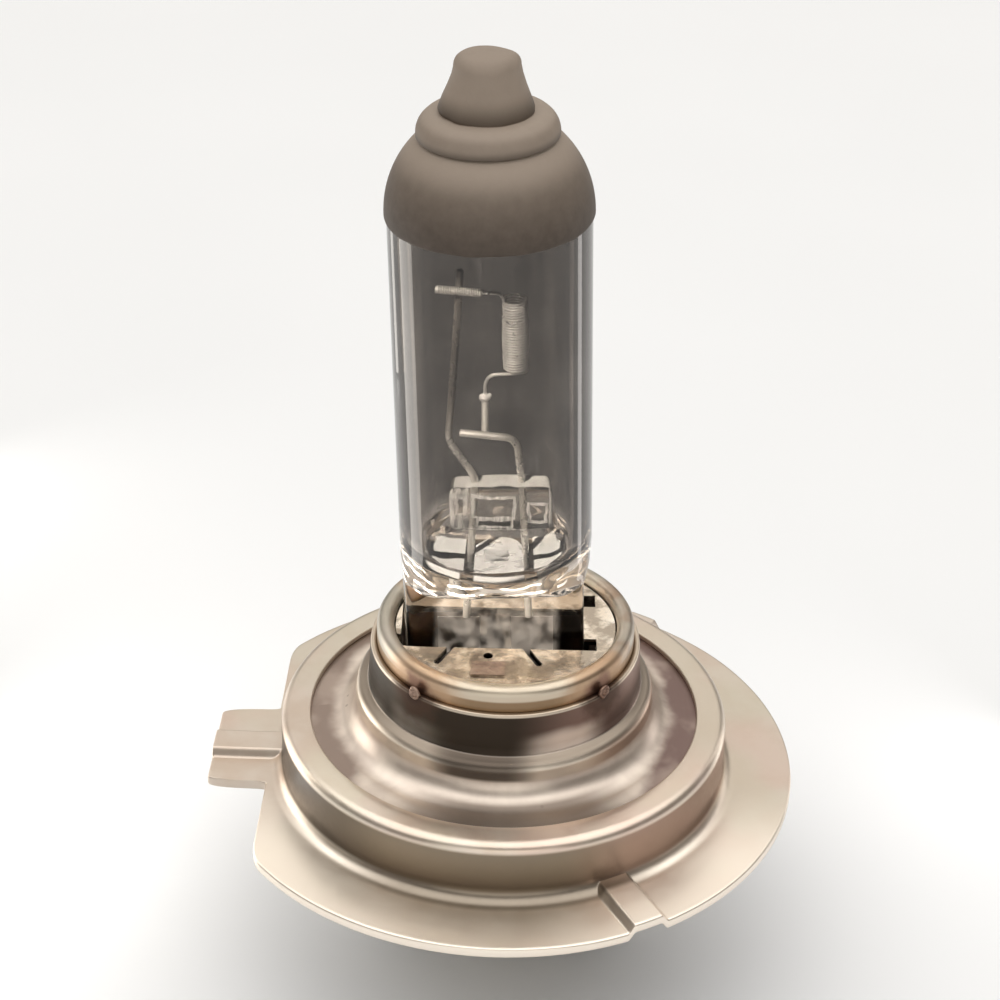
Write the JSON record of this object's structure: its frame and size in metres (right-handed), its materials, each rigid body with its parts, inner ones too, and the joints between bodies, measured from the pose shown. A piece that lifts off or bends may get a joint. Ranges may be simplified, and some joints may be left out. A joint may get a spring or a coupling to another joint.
{
  "type": "headlight bulb",
  "caption": "Halogen headlight bulb: coated quartz burner with filament, stepped metal sleeve, flanged prefocus cap with index tab, and contact blades.",
  "frame": {"origin": "on the cap's axis, in the reference plane that the tops of the three flange bosses set", "axes": "+Z along the cap's axis to the bulb's tip, -X through the index tab, +Y across"},
  "size_m": [0.0341, 0.034, 0.0566],
  "materials": {
    "flange_steel": "pressed nickel-plated steel, champagne tint, satin",
    "sleeve_steel": "drawn stainless steel, satin",
    "cup_steel": "rolled steel rim with a golden heat tint",
    "weld_metal": "laser weld dots with a brown heat tint",
    "clip_steel": "stamped spring steel, bright",
    "quartz": "clear quartz",
    "antiglare": "matt grey-brown anti-glare coat",
    "tungsten": "bright tungsten wire",
    "leg_metal": "tungsten overwind",
    "clamp_metal": "bright clamp",
    "support_metal": "molybdenum wire",
    "bridge_quartz": "clear quartz bar",
    "foil_metal": "molybdenum foil",
    "insulator_ceramic": "pale unglazed ceramic",
    "shell_steel": "drawn nickel-plated steel, satin",
    "blade_metal": "nickel-plated brass"
  },
  "bodies": {
    "root": {"prefocus_flange": "flange_steel", "outer_sleeve": "sleeve_steel", "burner_cup": "cup_steel", "weld_dots": "weld_metal", "retaining_clip": "clip_steel", "quartz_envelope": "quartz", "antiglare_coat": "antiglare", "filament_coil": "tungsten", "upper_leg": "tungsten", "lower_leg": "tungsten", "upper_leg_sleeve": "leg_metal", "lower_leg_sleeve": "leg_metal", "leg_clamp": "clamp_metal", "long_support_wire": "support_metal", "short_support_wire": "support_metal", "quartz_bridge": "bridge_quartz", "foil_left": "foil_metal", "foil_right": "foil_metal", "lead_pin_left": "support_metal", "lead_pin_right": "support_metal", "base_insulator": "insulator_ceramic", "base_shell": "shell_steel", "blade_left": "blade_metal", "blade_right": "blade_metal"}
  },
  "joints": []
}
